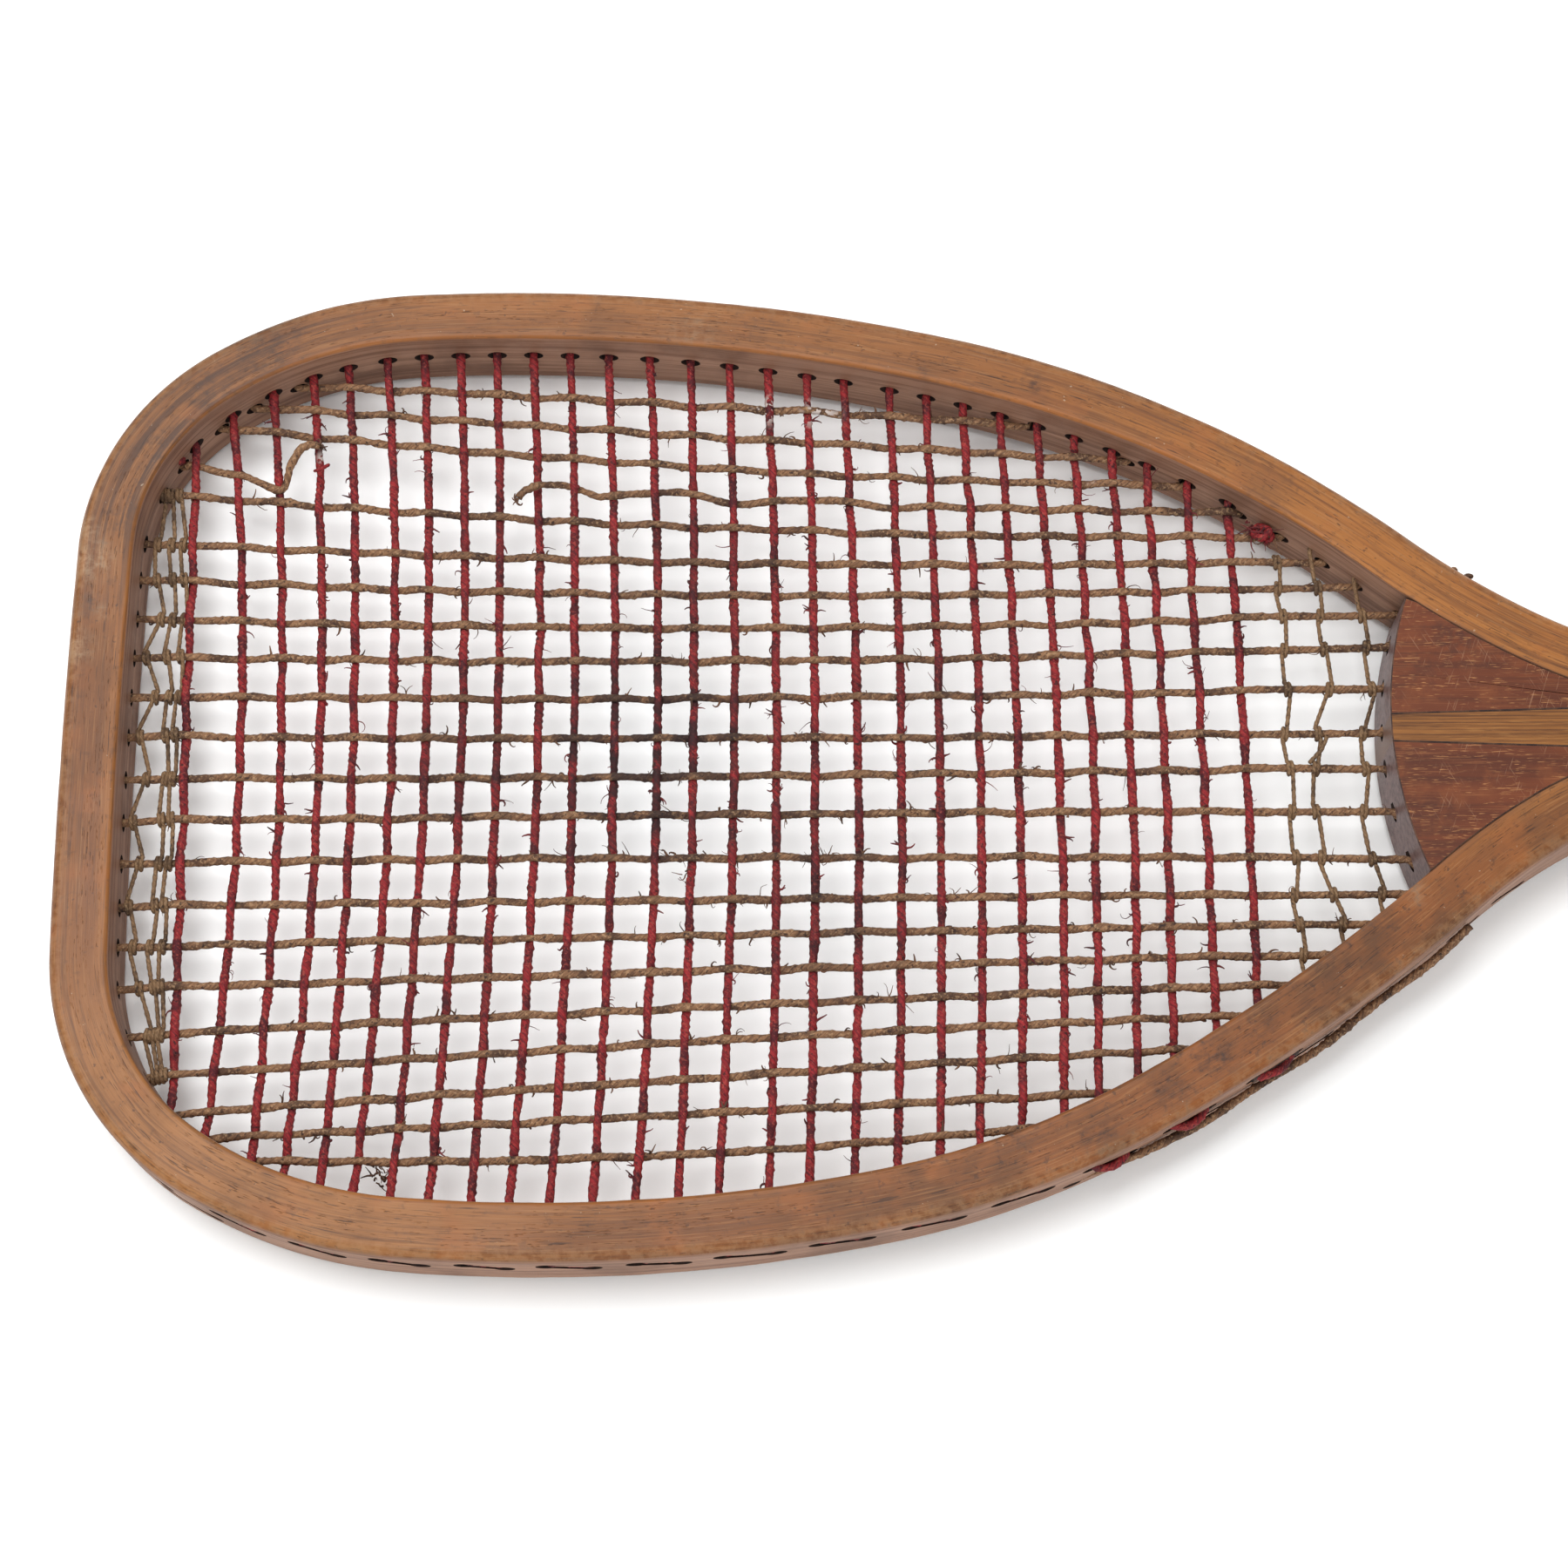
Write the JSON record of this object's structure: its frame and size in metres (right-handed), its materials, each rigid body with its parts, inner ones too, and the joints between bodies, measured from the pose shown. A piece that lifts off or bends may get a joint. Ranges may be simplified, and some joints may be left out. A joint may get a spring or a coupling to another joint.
{
  "type": "lawn tennis racket",
  "caption": "Antique lopsided wooden racket: bent hoop with a wedge throat, red and brown gut strings with trebling, and a long eight-sided grip.",
  "frame": {"origin": "under the middle of the bounding box, at the level of the surface that the racket lies on", "axes": "+X along the racket from the crown of the head to the butt, +Y across it towards the head's fuller upper corner, +Z square to the strings"},
  "size_m": [0.686, 0.2136, 0.0298],
  "materials": {
    "ash_hoop": "old worn varnish, satin",
    "mahogany": "old worn varnish, satin",
    "pale_ash": "old worn varnish, satin",
    "grip_wood": "hand-worn bare wood",
    "leather": "dry and scuffed",
    "brass": "tarnished",
    "brown_gut": "twisted, frayed, matt",
    "red_gut": "twisted, frayed, matt",
    "treble_gut": "thin, twisted, matt"
  },
  "bodies": {
    "root": {"hoop": "ash_hoop", "wedge_upper": "mahogany", "wedge_lower": "mahogany", "centre_strip": "pale_ash", "grip_face_front": "grip_wood", "grip_face_back": "grip_wood", "grip_side_upper": "grip_wood", "grip_side_lower": "grip_wood", "butt_band": "leather", "butt_tacks": "brass", "main_string_short": "brown_gut", "main_string_long": "brown_gut", "cross_string": "red_gut", "treble_throat_1": "treble_gut", "treble_throat_2": "treble_gut", "treble_throat_3": "treble_gut", "treble_crown_1": "treble_gut", "treble_crown_2": "treble_gut", "treble_crown_3": "treble_gut"}
  },
  "joints": []
}
